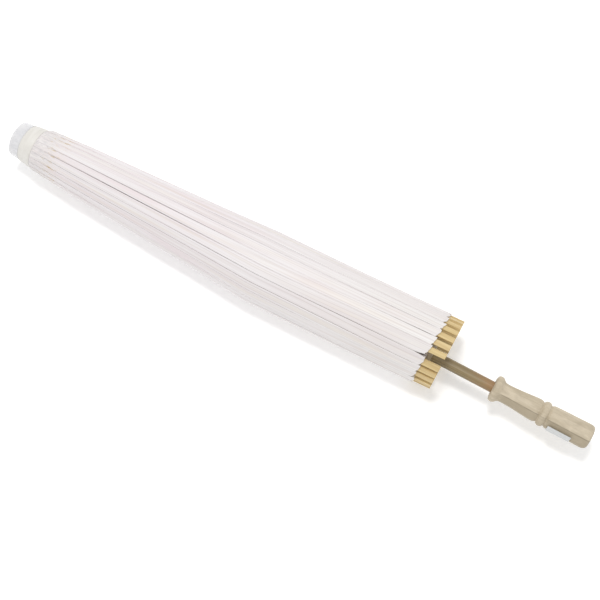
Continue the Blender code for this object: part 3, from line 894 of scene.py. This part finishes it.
def make_band(look):
    """The paper band round the crown, a little creased, with its lap and the edge that is
    tucked under the canopy paper."""

    def creased(x, radius, azimuth):
        ripple = 0.16 * MM * wander(azimuth * 4, x * 90, 2.0)
        lap = 0.22 * MM * (1 - stepped(azimuth, radians(42), radians(44)))
        return radius + ripple + lap

    outer = [(BAND_START - BAND_LIP, BAND_RADII[0] - 0.5 * MM)]
    for step in range(BAND_STEPS + 1):
        part = step / BAND_STEPS
        x = BAND_START + (BAND_END - BAND_START) * part
        eased = 0.35 * MM * (abs(2 * part - 1) ** 6)
        outer.append((x, BAND_RADII[0] + (BAND_RADII[1] - BAND_RADII[0]) * part - eased))
    outer += [(BAND_END + 0.2 * MM, BAND_TUCK_RADIUS), (BAND_END + 3.2 * MM, BAND_TUCK_RADIUS)]
    inner = [(x, radius - BAND_WALL) for x, radius in reversed(outer)]
    bm, rings = spun(outer + inner, BAND_ROUND, creased)
    bridge(bm, rings, closed=True)
    band = new_object("crown_band_paper", bm, look)
    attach(band, "root")
    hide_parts("crown_band")


def soft_shading_nodes():
    """Geometry nodes that shade a faceted round piece smooth, but for its real edges."""
    tree = bpy.data.node_groups.new("soft_shading", "GeometryNodeTree")
    tree.interface.new_socket("Geometry", in_out="INPUT", socket_type="NodeSocketGeometry")
    tree.interface.new_socket("Geometry", in_out="OUTPUT", socket_type="NodeSocketGeometry")
    given = tree.nodes.new("NodeGroupInput")
    result = tree.nodes.new("NodeGroupOutput")
    smooth = tree.nodes.new("GeometryNodeSetShadeSmooth")
    angle = tree.nodes.new("GeometryNodeInputMeshEdgeAngle")
    sharp = tree.nodes.new("ShaderNodeMath")
    sharp.operation = "GREATER_THAN"
    sharp.inputs[1].default_value = radians(32)
    edges = tree.nodes.new("GeometryNodeSetShadeSmooth")
    edges.domain = "EDGE"
    edges.inputs["Shade Smooth"].default_value = False
    tree.links.new(given.outputs[0], smooth.inputs["Geometry"])
    tree.links.new(smooth.outputs[0], edges.inputs["Geometry"])
    tree.links.new(angle.outputs["Unsigned Angle"], sharp.inputs[0])
    tree.links.new(sharp.outputs[0], edges.inputs["Selection"])
    tree.links.new(edges.outputs[0], result.inputs[0])
    return tree


def dress_frame(nodes, looks):
    """Gives each CAD node that stays shown its material, round ones a smooth shading and the
    slats a worn edge."""
    soft_shading = soft_shading_nodes()
    plain = {
        "shaft": "shaft",
        "top_notch": "wood",
        "runner": "wood",
        "notch_tie_wire": "steel",
        "runner_tie_wire": "steel",
        "stop_pin": "bamboo",
        "latch_spring": "bamboo",
        "cap": "plastic",
        "label": "label",
    }
    for name, node in nodes.items():
        kind = plain.get(name) or ("bamboo" if name.startswith(("rib_", "stretcher_")) else None)
        if kind is None:
            continue
        node.data.materials.clear()
        node.data.materials.append(looks[kind])
        if name.startswith("rib_"):
            edge = node.modifiers.new("worn_edge", "BEVEL")
            edge.width = 0.25 * MM
            edge.segments = 2
            edge.limit_method = "ANGLE"
            edge.angle_limit = radians(50)
        elif not name.startswith("stretcher_"):
            node.modifiers.new("soft_shading", "NODES").node_group = soft_shading


# The studio


def look_from(item, at, aim):
    """Puts a lamp or a camera in its place, turned to what it aims at."""
    item.location = at
    item.rotation_euler = (aim - at).to_track_quat("-Z", "Y").to_euler()
    bpy.context.scene.collection.objects.link(item)


def make_studio():
    """A pale floor, a plain white world and one soft light from above."""
    scene = bpy.context.scene
    scene.view_settings.view_transform = "Standard"
    world = bpy.data.worlds.new("studio")
    world.use_nodes = True
    background = world.node_tree.nodes["Background"]
    background.inputs["Color"].default_value = (1, 1, 1, 1)
    background.inputs["Strength"].default_value = WORLD_STRENGTH
    scene.world = world

    bm = bmesh.new()
    bmesh.ops.create_grid(bm, x_segments=1, y_segments=1, size=FLOOR_HALF_SIZE)
    look = Look("floor", 0.9, Emission_Color=(1, 1, 1, 1), Emission_Strength=FLOOR_GLOW)
    soft = look.noise(look.places((3, 3, 3)), 1.0, 2.0)
    look.colour(look.ramp(soft, (0.0, (0.93, 0.93, 0.93)), (1.0, (0.95, 0.95, 0.95))))
    new_object("floor", bm, look.material)

    key = bpy.data.lights.new("key", "AREA")
    key.energy, key.color = KEY_POWER, KEY_COLOUR
    key.shape, key.size = "DISK", KEY_SIZE
    look_from(bpy.data.objects.new("key", key), KEY_AT, Vector((0, 0, 0)))


def make_camera():
    camera = bpy.data.objects.new("camera", bpy.data.cameras.new("camera"))
    camera.data.lens = CAMERA_LENS
    camera.data.sensor_width = 36
    camera.data.clip_start, camera.data.clip_end = 0.01, 20
    look_from(camera, CAMERA_AT, CAMERA_TARGET)
    bpy.context.scene.camera = camera


def main():
    for leftover in list(bpy.data.objects):
        bpy.data.objects.remove(leftover)
    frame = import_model()
    bamboo = ((0.76, 0.60, 0.31), (0.50, 0.35, 0.15))
    pale_wood = ((0.60, 0.52, 0.395), (0.43, 0.36, 0.25))
    looks = {
        "bamboo": grain("bamboo", *bamboo, 0.5, (10, 420, 420)),
        "shaft": shaft_look(),
        # The worn wood also carries the painted shade on the handle's lower facets
        "wood": grain("pale_wood", *pale_wood, 0.6, (26, 240, 240), worn=True),
        "plastic": plastic_look(),
        "label": label_look(),
        "steel": steel_look(),
    }
    make_camera()
    make_studio()
    dress_frame(frame["nodes"], looks)
    make_canopy(paper_look(), frame["bodies"]["root"])
    make_band(band_look())
    make_handle(looks["wood"])


main()
